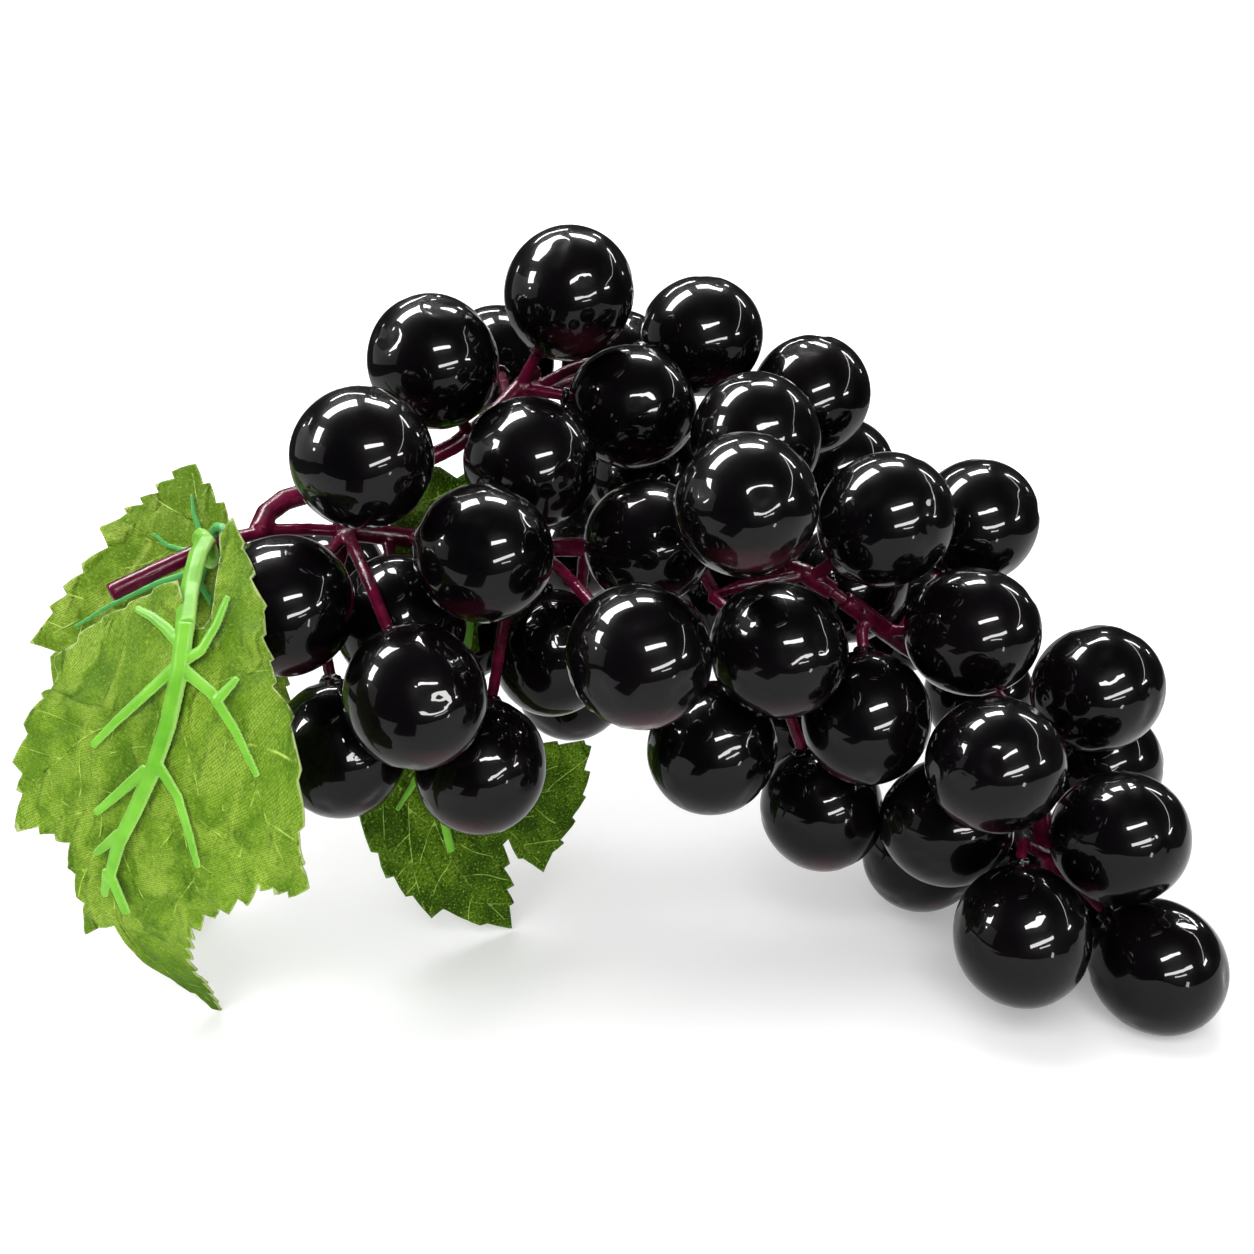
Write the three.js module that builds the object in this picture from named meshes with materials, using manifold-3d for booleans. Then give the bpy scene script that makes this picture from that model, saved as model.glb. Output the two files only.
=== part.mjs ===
// A decorative bunch of black grapes, lying on a table.
//
// Moulded plastic grapes sit on moulded burgundy stems. Three cloth vine leaves hang from the
// cut end of the stem, each held by a moulded green rib frame that is clipped round the stem.
// Units are millimetres, +Z is up, +X runs along the bunch away from the cut end, and +Y
// points to the back. The origin is the middle of the footprint, on the table.

import * as THREE from 'three';
import { mergeVertices } from 'three/addons/utils/BufferGeometryUtils.js';
import Module from 'manifold-3d';

const wasm = await Module();
wasm.setup();

// ---------------------------------------------------------------- driving dimensions

const FIT_GAP = 0.3; // clearance between pieces that touch

const GRAPE_RADIUS = 12.2; // across the grape
const GRAPE_HALF_LENGTH = 12.8; // along its stalk, without the neck
const GRAPE_SPACING = 25.6; // least distance between the middles of two grapes
const GRAPE_SIDES = 12;
const GRAPE_ROWS = [-60, -30, 0, 30, 60]; // latitudes of the rings, in degrees
const NECK_RADIUS = 1.9; // small collar where the stalk enters
const NECK_HEIGHT = 1.0;
const NECK_FOOT_RADIUS = 2.4; // where the collar meets the grape
const NECK_FOOT_DROP = 0.3;
const SOCKET_DEPTH = 2.4; // recess that takes the end of the stalk
const STALK_INSERTION = 0.4; // how far the stalk reaches into the recess

const CUT_END_RADIUS = 1.6; // main stem at the cut end
const CORE_RADIUS = 1.1; // main stem inside the bunch
const STEM_TAPER = 3.2; // loss of radius over the stem's whole length, down to the core
const STEM_STEPS = 30;
const BRANCH_RADIUS = 1.95; // the arched branch that carries the shoulder of the bunch
const BRANCH_CORE_RADIUS = 0.85;
const BRANCH_THICK_SHARE = 0.27; // share of its length over which it stays thick
const BRANCH_TAPER = 5;
const BRANCH_STEPS = 14;
const STEM_SIDES = 8;
const SLEEVE_WALL = 0.5; // the part of a sprig that is threaded on the main stem
const SLEEVE_STEP = 6.5; // length of one straight bit of a sleeve
const STALK_RADIUS = 1.35; // where it leaves the sleeve
const STALK_TIP_RADIUS = 1.1;
const STALK_SIDES = 5;
const STALK_STEPS = 4;
const STALK_SLANT = 0.3; // how far a stalk leans towards the cut end, per length of stalk
const STALK_CLEARANCE = 1; // air between a stalk and a grape that it passes
const SHORT_STALK = 7; // a stalk that is no longer than this is straight
const STRAIGHT_START = 0.1; // share of the way at which a straight stalk is given a point

const LEAF_THICKNESS = 0.8;
const TEETH = 58; // teeth round the edge of a leaf
const TOOTH_DEPTH = 1.3;
const RIM_PER_INNER = 3; // rim points to each point of the rings inside it
const LEAF_RINGS = [0.4, 0.8]; // rings inside the rim, as shares of the way out
const SPINE_DIVISIONS = 400; // steps in which the length of a spine is measured
const SPINE_TOP_SHARE = 0.4; // the leaf's own stalk joins within this share of its spine

const MAIN_RIB_RADIUS = 1.6; // half the width of the strap and of the rib down the middle
const MAIN_RIB_TIP_RADIUS = 0.85;
const RIB_RADIUS = 0.95;
const RIB_TIP_RADIUS = 0.5;
const RIB_FLATNESS = 0.65; // a rib's thickness, as a share of its width
const RIB_SIDES = 6;
const STRAP_STEPS = 7;
const RIB_SLACK = 0.4; // more room where the blade bends under a rib
const CLIP_THICKNESS = 0.9; // section radius of the ring that clips round the stem
const CLIP_SIDES = 12;

const EASING_ROUNDS = 80; // rounds in which grapes and stalks are moved clear of each other
const EASING = 0.3; // how far a bent stalk straightens in one round
const SEARCH_STEPS = 40; // places tried when the nearest one on a curve is looked for

// ---------------------------------------------------------------- finishes

const finish = (color, roughness) => ({ color, roughness, metalness: 0 });
const GRAPE_FINISH = finish(0x0b080b, 0.08);
const STEM_FINISH = finish(0x640f32, 0.3);
const CLOTH_FINISH = finish(0x7fa32f, 0.85);
const RIB_FINISH = finish(0x63b74a, 0.35);

// ---------------------------------------------------------------- where things grow

// Each sprig carries the grapes in its list, given by their middles. A stalk that has to go
// round something also names the place that it passes by, and where on the stem it starts.
const SPRIGS = {
  sprig_shoulder: {
    along: 'branch',
    from: 0.3,
    to: 1,
    grapes: [
      [-45, -32, 107],
      [-36, -3, 120],
      [-28, 45, 115],
      [-11, 5, 132],
      [15, 27, 122],
      [-2, 46, 114],
      [-18, -9, 102],
      [1, 10, 110],
    ],
  },
  sprig_near_cut_end: {
    along: 'stem',
    from: 0.185,
    to: 0.285,
    grapes: [
      [-59, -36, 82],
      [-65, 38, 68],
      [-42, -18, 74],
      [-25, -30, 90],
      { middle: [-36, -43, 68], by: [-45.5, -28, 84] },
      [-52, -28, 53],
    ],
  },
  sprig_belly: {
    along: 'stem',
    from: 0.325,
    to: 0.44,
    grapes: [
      [-27, -27, 49],
      { middle: [-37, 18, 62], by: [-22, 14, 74] },
      [-11, 45, 74],
      [4, 29, 93],
      [-15, 2, 62],
      [-12, 25, 48],
      { middle: [2, -46, 76], by: [-11, -22, 84], root: 0.35 },
      [4, -5, 86],
    ],
  },
  sprig_middle: {
    along: 'stem',
    from: 0.45,
    to: 0.64,
    grapes: [
      [24, -6, 106],
      [38, 27, 110],
      [48, 50, 90],
      [20, -38, 100],
      [47, -17, 93],
      { middle: [27, -29, 72], by: [16, -12, 78] },
      [16, -20, 50],
      { middle: [39, -8, 33], by: [31, -9, 55] },
      [23, 23, 68],
      [45, 11, 74],
      [37, 20, 42],
    ],
  },
  sprig_tip: {
    along: 'stem',
    from: 0.65,
    to: 1,
    grapes: [
      { middle: [45, -18, 55], by: [45, -9, 70] },
      [70, 10, 87],
      [65, -14, 71],
      [91, -9, 58],
      [65, -37, 53],
      [99, 8, 36],
      [90, -32, 37],
      [62, 5, 17],
      [61, -20, 35],
      { middle: [71, -41, 22], by: [72, -32, 36] },
      [98, -35, 12.5],
      [92, -11, 12.5],
      [61, 30, 62],
      [79, 35, 42],
      [83, 19, 12.5],
    ],
  },
};

// The main stem runs from the cut end down the middle of the bunch to its lowest grapes.
const STEM_ROUTE = [
  [-89, -35, 84],
  [-82, -31, 87],
  [-74, -26, 90],
  [-67, -18, 91],
  [-60, -11, 90],
  [-48, -6, 88],
  [-28, 1, 84],
  [-6, 9, 82],
  [6, 14, 80],
  [20, 4, 82],
  [33, -7, 81],
  [45, -8, 73],
  [58, 2, 62],
  [72, 2, 55],
  [80, -8, 44],
  [80, -18, 32],
  [82, -24, 24],
];

// The arched branch leaves the main stem at a knot and climbs behind the front grapes.
const BRANCH_ROUTE = [
  [-67, -18, 91],
  [-66, -13.5, 94],
  [-63, -10, 95.7],
  [-59, -8, 96.5],
  [-47, -3, 100],
  [-36, 2, 102],
  [-26, 7, 109],
  [-18, 14, 117],
];

// Leaves. A spine runs from the top of the blade to its tip, over the leaf's bend, and
// "across" is the direction of the blade's width. The outline and the ribs are drawn flat,
// as [across, up] from the point where the leaf's own stalk joins the blade. The cup is the
// lift of the blade per square millimetre away from its spine. Slender is the thickness of
// the side ribs, as a share of the usual one.
const LEAVES = {
  leaf_front: {
    spine: [
      [-69, -40, 96],
      [-73, -49, 80],
      [-75, -55, 66],
      [-80, -54, 52],
      [-86, -49, 36],
      [-87, -41, 19],
      [-78, -29, 0],
    ],
    across: [1, -0.35, 0],
    cup: -0.0025,
    heart: [0, -34],
    outline: [
      [4.6, 22], [10, 12], [14, 6], [16, 0], [18, -6], [23, -14], [28, -20], [30, -31],
      [25, -33], [19, -39], [16, -45], [13, -53], [8, -75], [0, -91], [-2, -82], [-2, -70],
      [-4, -61], [-11, -65], [-10, -51], [-12, -46], [-22, -48], [-26, -40], [-25, -29],
      [-25, -17], [-24, -6], [-21, -2], [-12, 4], [-6, 8], [-4.5, 9.5], [-2.8, 4],
      [0.5, -1.5], [2.6, 3], [3.2, 9], [3.7, 14],
    ],
    clip: 0.075,
    slender: 1,
    stalk: [[-73, -29, 92.8], [-73.5, -35, 90.5], [-73.5, -41, 86]],
    ribs: [
      [[1.5, 2], [2, -4], [2, -11], [0.5, -23], [-1.5, -36], [-2.5, -44], [1, -53]],
      [[1, -1], [-4, 2], [-9, 3.5]],
      [[1.5, -5], [6, -1], [7.5, 7.5]],
      [[1, -5.5], [-8, -15.5], [-11.5, -23.5]],
      [[2, -5], [10, -10], [18.5, -16.5]],
      [[9.5, -10], [12.5, -6.5]],
      [[-0.5, -22], [-7.5, -35.5]],
      [[1, -20], [6, -23.5], [12.5, -34]],
      [[-2, -36], [-5.5, -43]],
      [[-2.5, -45], [-3.5, -51.5]],
    ],
  },
  leaf_back: {
    spine: [
      [-75, -8, 108],
      [-77, -15, 88],
      [-84, -14, 70],
      [-91, -8, 48],
      [-95, 4, 24],
      [-94, 18, 0],
    ],
    across: [1, 0, 0],
    cup: -0.002,
    heart: [-2, -36],
    outline: [
      [-5, 15], [1, 9], [4, 3], [11, -4], [17, -13], [21, -24], [24, -37], [18, -48],
      [11, -55], [7, -68], [4, -84], [0, -98.5], [-4, -84], [-8, -70], [-12, -56],
      [-17, -50], [-20, -42], [-24, -34], [-24, -24], [-22, -16], [-18, -8], [-20, -3],
      [-16, 4], [-12, 8], [-8, 10],
    ],
    clip: 0.09,
    slender: 0.7,
    stalk: [[-73, -18, 90]],
    ribs: [
      [[0, 0], [0, -14], [-1, -34], [-1, -52]],
      [[0, 0], [-3, 5], [-4, 9]],
      [[-1, -1], [-6, -2], [-10, 0]],
      [[0, -4], [-10, -13], [-19, -23]],
      [[0, -6], [8, -14], [14, -26]],
      [[-1, -26], [-8, -36], [-13, -46]],
      [[-1, -26], [6, -36], [10, -47]],
    ],
  },
  leaf_under: {
    spine: [
      [-34, 14, 108],
      [-38, 8, 95],
      [-41, 2, 80],
      [-41, -5, 60],
      [-38, -8, 42],
      [-32, -4, 20],
      [-24, 4, 0],
    ],
    across: [1, 0.45, 0],
    cup: -0.001,
    heart: [1, -60],
    outline: [
      [12, 31], [17, 24], [18, 10], [15, -6], [13, -22], [11, -40], [11, -52], [20, -60],
      [31, -66], [30, -76], [25, -85], [18, -88], [12, -92], [9, -83], [7.5, -79], [6, -86],
      [4, -94], [0, -101.6], [-8, -91], [-13, -87], [-16, -79], [-18, -68], [-18, -58],
      [-14, -45], [-10, -30], [-7, -14], [-6, -3], [-4, 3], [0, 4], [4, 3], [8, 8],
      [10, 18],
    ],
    clip: 0.305,
    slender: 1,
    stalk: [[-29, 3.5, 88.5], [-33, 7, 93]],
    ribs: [
      [[4, -1], [10, -14], [9, -34], [0, -52], [-3, -74]],
      [[9.5, -26], [3, -36], [-3, -44]],
      [[5, -3], [10, 6], [13, 16]],
      [[1, -51], [-5, -57], [-10, -61]],
      [[0, -52], [7, -61], [15, -70]],
    ],
  },
};

// ---------------------------------------------------------------- solids

function meshData(solid) {
  const { vertProperties, triVerts, numProp } = solid.getMesh();
  const position = new Float32Array((vertProperties.length / numProp) * 3);
  for (let i = 0; i < position.length / 3; i += 1) {
    position.set(vertProperties.subarray(i * numProp, i * numProp + 3), i * 3);
  }
  return { position, triVerts };
}

function geometryOf(solid) {
  const { position, triVerts } = meshData(solid);
  const geometry = new THREE.BufferGeometry();
  geometry.setAttribute('position', new THREE.BufferAttribute(position, 3));
  geometry.setIndex(new THREE.BufferAttribute(triVerts, 1));
  geometry.computeVertexNormals();
  return geometry;
}

// Turns corners and triangles into a solid that can be joined and cut.
function solidOf(vertProperties, triVerts) {
  return new wasm.Manifold(new wasm.Mesh({
    numProp: 3,
    vertProperties: new Float32Array(vertProperties),
    triVerts: new Uint32Array(triVerts),
  }));
}

const numbersOf = (points) => points.flatMap((point) => point.toArray());

// A tube along a curve. radiusAt gives its radius for 0 to 1 along the way. A flattened
// tube lies along a width direction, and is thinner across it.
function tube(curve, radiusAt, steps, sides, flattened) {
  const frames = curve.computeFrenetFrames(steps, false);
  const points = [];
  const triangles = [];
  for (let i = 0; i <= steps; i += 1) {
    const middle = curve.getPointAt(i / steps);
    const radius = radiusAt(i / steps);
    for (let j = 0; j < sides; j += 1) {
      const angle = (2 * Math.PI * j) / sides;
      const offset = new THREE.Vector3()
        .addScaledVector(frames.normals[i], radius * Math.cos(angle))
        .addScaledVector(frames.binormals[i], radius * Math.sin(angle));
      if (flattened) {
        const thin = frames.tangents[i].clone().cross(flattened.width).normalize();
        offset.addScaledVector(thin, (flattened.share - 1) * offset.dot(thin));
      }
      points.push(middle.clone().add(offset));
    }
  }
  for (let i = 0; i < steps; i += 1) {
    for (let j = 0; j < sides; j += 1) {
      const a = i * sides + j;
      const b = i * sides + ((j + 1) % sides);
      triangles.push(a, b, b + sides, a, b + sides, a + sides);
    }
  }
  const last = steps * sides;
  for (let j = 1; j < sides - 1; j += 1) {
    triangles.push(0, j + 1, j);
    triangles.push(last, last + j, last + j + 1);
  }
  return solidOf(numbersOf(points), triangles);
}

const UP = new THREE.Vector3(0, 0, 1);
const MERGE_DISTANCE = 0.001;
const TENSION = 0.5;
const vector = ([x, y, z]) => new THREE.Vector3(x, y, z);
const smooth = (points) => new THREE.CatmullRomCurve3(points, false, 'catmullrom', TENSION);
const between = (a, b, share) => a.clone().lerp(b, share);
const taper = (start, end) => (t) => start + (end - start) * t;

// The stretch of a curve between two shares of its length.
function stretch(curve, from, to, count) {
  const points = [];
  for (let i = 0; i <= count; i += 1) {
    points.push(curve.getPointAt(from + ((to - from) * i) / count));
  }
  return smooth(points);
}

function joined(solids) {
  return solids.reduce((whole, piece) => whole.add(piece));
}

// ---------------------------------------------------------------- grapes

// Moves the grapes apart where two of them would overlap, and keeps them on the table.
function settle(middles) {
  for (let round = 0; round < EASING_ROUNDS; round += 1) {
    for (let i = 0; i < middles.length; i += 1) {
      for (let j = i + 1; j < middles.length; j += 1) {
        const apart = middles[j].clone().sub(middles[i]);
        const missing = GRAPE_SPACING - apart.length();
        if (missing > 0) {
          apart.setLength(missing / 2);
          middles[i].sub(apart);
          middles[j].add(apart);
        }
      }
    }
    middles.forEach((middle) => {
      middle.z = Math.max(middle.z, GRAPE_HALF_LENGTH);
    });
  }
}

// A grape stands on its blossom end: a slightly long ball with a collar and a recess on top.
function grapeGeometry() {
  const profile = [new THREE.Vector2(0, -GRAPE_HALF_LENGTH)];
  GRAPE_ROWS.forEach((latitude) => {
    const angle = THREE.MathUtils.degToRad(latitude);
    profile.push(new THREE.Vector2(
      GRAPE_RADIUS * Math.cos(angle),
      GRAPE_HALF_LENGTH * Math.sin(angle),
    ));
  });
  const top = GRAPE_HALF_LENGTH + NECK_HEIGHT;
  profile.push(new THREE.Vector2(NECK_FOOT_RADIUS, GRAPE_HALF_LENGTH - NECK_FOOT_DROP));
  profile.push(new THREE.Vector2(NECK_RADIUS, top));
  profile.push(new THREE.Vector2(0, top - SOCKET_DEPTH));
  const geometry = new THREE.LatheGeometry(profile, GRAPE_SIDES);
  geometry.rotateX(Math.PI / 2);
  return geometry;
}

// ---------------------------------------------------------------- stems

// A stalk's route from its sprig to its grape, eased round the grapes that it passes.
function stalkRoute(root, { middle: own, by }, middles) {
  const clear = GRAPE_HALF_LENGTH + STALK_RADIUS + STALK_CLEARANCE;
  const ownClear = GRAPE_HALF_LENGTH + NECK_HEIGHT + STALK_CLEARANCE * 2;
  if (root.distanceTo(own) < SHORT_STALK + GRAPE_HALF_LENGTH) {
    return [root, between(root, own, STRAIGHT_START)];
  }
  const points = by
    ? [root, between(root, by, 0.5), by, between(by, own, 0.5), own]
    : [0, 0.25, 0.5, 0.75, 1].map((share) => between(root, own, share));
  for (let round = 0; round < EASING_ROUNDS; round += 1) {
    for (let i = 1; i < 4; i += 1) {
      if (points[i] !== by) {
        points[i].lerp(between(points[i - 1], points[i + 1], 0.5), EASING);
        middles.forEach((middle) => {
          const least = middle === own ? ownClear : clear;
          const away = points[i].clone().sub(middle);
          if (away.length() < least) {
            points[i].copy(middle).add(away.setLength(least));
          }
        });
      }
    }
  }
  return points.slice(0, 4);
}

// The share of the curve's length whose point is nearest to a place.
function nearestShare(curve, place, from, to) {
  let best = from;
  for (let i = 0; i <= SEARCH_STEPS; i += 1) {
    const share = from + ((to - from) * i) / SEARCH_STEPS;
    const gap = curve.getPointAt(share).distanceTo(place);
    if (gap < curve.getPointAt(best).distanceTo(place)) {
      best = share;
    }
  }
  return best;
}

// The main stem or its branch, made thicker by a margin to cut the bore of a sprig.
function carrierTube({ curve, radiusAt, steps }, margin) {
  return tube(curve, (t) => radiusAt(t) + margin, steps, STEM_SIDES);
}

// One sprig: a sleeve threaded on its carrier, with a stalk to each of its grapes.
function buildSprig(sprig, carriers, grapes, middles) {
  const carrier = carriers[sprig.along];
  const { curve, length } = carrier;
  const from = sprig.from + FIT_GAP / length;
  const steps = Math.ceil(((sprig.to - from) * length) / SLEEVE_STEP);
  const sleeveCurve = stretch(curve, from, sprig.to, steps);
  const sleeveRadiusAt = (t) => {
    const share = THREE.MathUtils.lerp(from, sprig.to, t);
    return carrier.radiusAt(share) + FIT_GAP + SLEEVE_WALL;
  };
  const sleeve = tube(sleeveCurve, sleeveRadiusAt, steps, STEM_SIDES);
  const first = from + (2 * STALK_RADIUS) / length;
  const last = sprig.to - (2 * STALK_RADIUS) / length;
  const stalks = grapes.map((grape) => {
    const near = nearestShare(curve, grape.middle, first, last);
    const reach = curve.getPointAt(near).distanceTo(grape.middle) - GRAPE_RADIUS;
    const share = grape.root ?? Math.max(first, near - (STALK_SLANT * reach) / length);
    const route = stalkRoute(curve.getPointAt(share), grape, middles);
    grape.neck = route.at(-1).clone().sub(grape.middle).normalize();
    const tip = GRAPE_HALF_LENGTH + NECK_HEIGHT - STALK_INSERTION;
    route.push(grape.middle.clone().addScaledVector(grape.neck, tip));
    const radiusAt = taper(STALK_RADIUS, STALK_TIP_RADIUS);
    return tube(smooth(route), radiusAt, STALK_STEPS, STALK_SIDES);
  });
  return joined([sleeve, ...stalks]).subtract(carrierTube(carrier, FIT_GAP));
}

function buildMainStem(carriers) {
  return joined(Object.values(carriers).map((carrier) => carrierTube(carrier, 0)));
}

// ---------------------------------------------------------------- leaves

// Places flat points of a leaf on its bent blade.
class Blade {
  constructor({ spine, across, cup }) {
    this.curve = smooth(spine.map(vector));
    this.curve.arcLengthDivisions = SPINE_DIVISIONS;
    this.length = this.curve.getLength();
    this.across = vector(across).normalize();
    this.cup = cup;
    this.start = this.length * nearestShare(this.curve, vector(spine[1]), 0, SPINE_TOP_SHARE);
  }

  // [across, up] on the flat leaf, and the lift off its middle surface, to a point in space.
  place([across, up], lift = 0) {
    const along = this.start - up;
    const share = THREE.MathUtils.clamp(along / this.length, 0, 1);
    const tangent = this.curve.getTangentAt(share);
    const wide = this.across.clone();
    wide.addScaledVector(tangent, -wide.dot(tangent)).normalize();
    const normal = tangent.clone().cross(wide);
    return this.curve.getPointAt(share)
      .addScaledVector(tangent, along - share * this.length)
      .addScaledVector(wide, across)
      .addScaledVector(normal, lift + this.cup * across * across);
  }
}

// Points round the toothed edge of the flat leaf.
function toothedRim(leaf) {
  const corners = leaf.outline.map(([x, y]) => new THREE.Vector2(x, y));
  const edge = new THREE.Path(corners);
  edge.closePath();
  const count = TEETH * 2;
  const spaced = edge.getSpacedPoints(count).slice(0, count);
  return spaced.map((point, i) => {
    const before = spaced[(i + count - 1) % count];
    const after = spaced[(i + 1) % count];
    const outward = new THREE.Vector2(before.y - after.y, after.x - before.x).normalize();
    const push = i % 2 === 0 ? TOOTH_DEPTH / 2 : -TOOTH_DEPTH / 2;
    return point.clone().addScaledVector(outward, push);
  });
}

function buildBlade(leaf, blade) {
  const rim = toothedRim(leaf);
  const heart = new THREE.Vector2(...leaf.heart);
  const innerCount = Math.floor(rim.length / RIM_PER_INNER);
  const flat = [heart];
  LEAF_RINGS.forEach((share) => {
    for (let i = 0; i < innerCount; i += 1) {
      flat.push(heart.clone().lerp(rim[i * RIM_PER_INNER], share));
    }
  });
  const rimStart = flat.length;
  flat.push(...rim);

  const sheet = [];
  for (let i = 0; i < innerCount; i += 1) {
    const next = (i + 1) % innerCount;
    sheet.push([0, 1 + i, 1 + next]);
    sheet.push([1 + i, 1 + innerCount + i, 1 + innerCount + next]);
    sheet.push([1 + i, 1 + innerCount + next, 1 + next]);
    const inner = 1 + innerCount + i;
    const outer = i * RIM_PER_INNER;
    const last = i === innerCount - 1 ? rim.length : outer + RIM_PER_INNER;
    for (let k = outer; k < last; k += 1) {
      sheet.push([inner, rimStart + k, rimStart + ((k + 1) % rim.length)]);
    }
    sheet.push([inner, rimStart + (last % rim.length), 1 + innerCount + next]);
  }

  const half = LEAF_THICKNESS / 2;
  const points = [
    ...flat.map((p) => blade.place([p.x, p.y], half)),
    ...flat.map((p) => blade.place([p.x, p.y], -half)),
  ];
  const back = flat.length;
  const triangles = [];
  sheet.forEach(([a, b, c]) => {
    triangles.push(a, c, b);
    triangles.push(back + a, back + b, back + c);
  });
  for (let k = 0; k < rim.length; k += 1) {
    const a = rimStart + k;
    const b = rimStart + ((k + 1) % rim.length);
    triangles.push(a, b, back + b, a, back + b, back + a);
  }
  return solidOf(numbersOf(points), triangles);
}

// A rib frame: ribs laid on the blade, a strap, and a ring clipped round the main stem.
function buildRibFrame(leaf, blade, stemCurve) {
  const liftOf = (radius) => LEAF_THICKNESS / 2 + FIT_GAP + RIB_SLACK + radius * RIB_FLATNESS;
  const lift = liftOf(MAIN_RIB_RADIUS);
  const flattened = { width: blade.across, share: RIB_FLATNESS };
  const ribs = leaf.ribs.map((flat, i) => {
    const endLift = i === 0 ? lift : liftOf(RIB_RADIUS);
    const liftAt = taper(lift, endLift);
    const route = flat.map((point, k) => blade.place(point, liftAt(k / (flat.length - 1))));
    const radiusAt = i === 0
      ? taper(MAIN_RIB_RADIUS, MAIN_RIB_TIP_RADIUS)
      : taper(RIB_RADIUS * leaf.slender, RIB_TIP_RADIUS * leaf.slender);
    return tube(smooth(route), radiusAt, route.length, RIB_SIDES, flattened);
  });
  const middle = stemCurve.getPointAt(leaf.clip);
  const axis = stemCurve.getTangentAt(leaf.clip);
  const ringRadius = CUT_END_RADIUS + FIT_GAP + CLIP_THICKNESS;
  const over = leaf.stalk.map(vector);
  const edge = over[0].clone().sub(middle).projectOnPlane(axis).setLength(ringRadius).add(middle);
  const join = blade.place(leaf.ribs[0][0], lift);
  const strapRoute = smooth([edge, ...over, join]);
  const strap = tube(strapRoute, () => MAIN_RIB_RADIUS, STRAP_STEPS, RIB_SIDES, flattened);
  return joined([clipRing(middle, axis, ringRadius), strap, ...ribs]);
}

function clipRing(middle, axis, ringRadius) {
  const ring = new THREE.TorusGeometry(ringRadius, CLIP_THICKNESS, RIB_SIDES, CLIP_SIDES);
  ring.deleteAttribute('uv');
  ring.deleteAttribute('normal');
  ring.applyQuaternion(new THREE.Quaternion().setFromUnitVectors(UP, axis));
  ring.translate(...middle.toArray());
  const closed = mergeVertices(ring, MERGE_DISTANCE);
  return solidOf(closed.getAttribute('position').array, closed.index.array);
}

// ---------------------------------------------------------------- assembly

const bunch = new THREE.Group();

function addPiece(name, geometry, look) {
  const mesh = new THREE.Mesh(geometry, new THREE.MeshStandardMaterial(look));
  mesh.name = name;
  bunch.add(mesh);
  return mesh;
}

const grapesBySprig = Object.entries(SPRIGS).map(([name, sprig]) => ({
  name,
  sprig,
  grapes: sprig.grapes.map((grape) => ({
    middle: vector(grape.middle ?? grape),
    by: grape.by && vector(grape.by),
    root: grape.root,
  })),
}));
const allGrapes = grapesBySprig.flatMap(({ grapes }) => grapes);
const middles = allGrapes.map(({ middle }) => middle);
settle(middles);

const stemCurve = smooth(STEM_ROUTE.map(vector));
const branchCurve = smooth(BRANCH_ROUTE.map(vector));
const carriers = {
  stem: {
    curve: stemCurve,
    length: stemCurve.getLength(),
    radiusAt: (t) => Math.max(CORE_RADIUS, CUT_END_RADIUS - STEM_TAPER * t),
    steps: STEM_STEPS,
  },
  branch: {
    curve: branchCurve,
    length: branchCurve.getLength(),
    radiusAt: (t) => {
      const narrowing = BRANCH_TAPER * Math.max(0, t - BRANCH_THICK_SHARE);
      return Math.max(BRANCH_CORE_RADIUS, BRANCH_RADIUS - narrowing);
    },
    steps: BRANCH_STEPS,
  },
};

addPiece('main_stem', geometryOf(buildMainStem(carriers)), STEM_FINISH);

grapesBySprig.forEach(({ name, sprig, grapes }) => {
  const solid = buildSprig(sprig, carriers, grapes, middles);
  addPiece(name, geometryOf(solid), STEM_FINISH);
});

allGrapes.forEach(({ middle, neck }, i) => {
  const number = String(i + 1).padStart(2, '0');
  const mesh = addPiece(`grape_${number}`, grapeGeometry(), GRAPE_FINISH);
  mesh.position.copy(middle);
  mesh.quaternion.setFromUnitVectors(UP, neck);
});

Object.entries(LEAVES).forEach(([name, leaf]) => {
  const blade = new Blade(leaf);
  addPiece(name, geometryOf(buildBlade(leaf, blade)), CLOTH_FINISH);
  addPiece(`${name}_ribs`, geometryOf(buildRibFrame(leaf, blade, stemCurve)), RIB_FINISH);
});

// The finished bunch is moved so that its box stands on the origin.
bunch.updateMatrixWorld(true);
const box = new THREE.Box3().setFromObject(bunch, true);
const footing = new THREE.Vector3(
  (box.min.x + box.max.x) / 2,
  (box.min.y + box.max.y) / 2,
  box.min.z,
);
bunch.position.sub(footing);

export default bunch;
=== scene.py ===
import math
import random

import bmesh
import bpy
from mathutils import Matrix, Vector, noise
from mathutils.geometry import delaunay_2d_cdt


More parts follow.
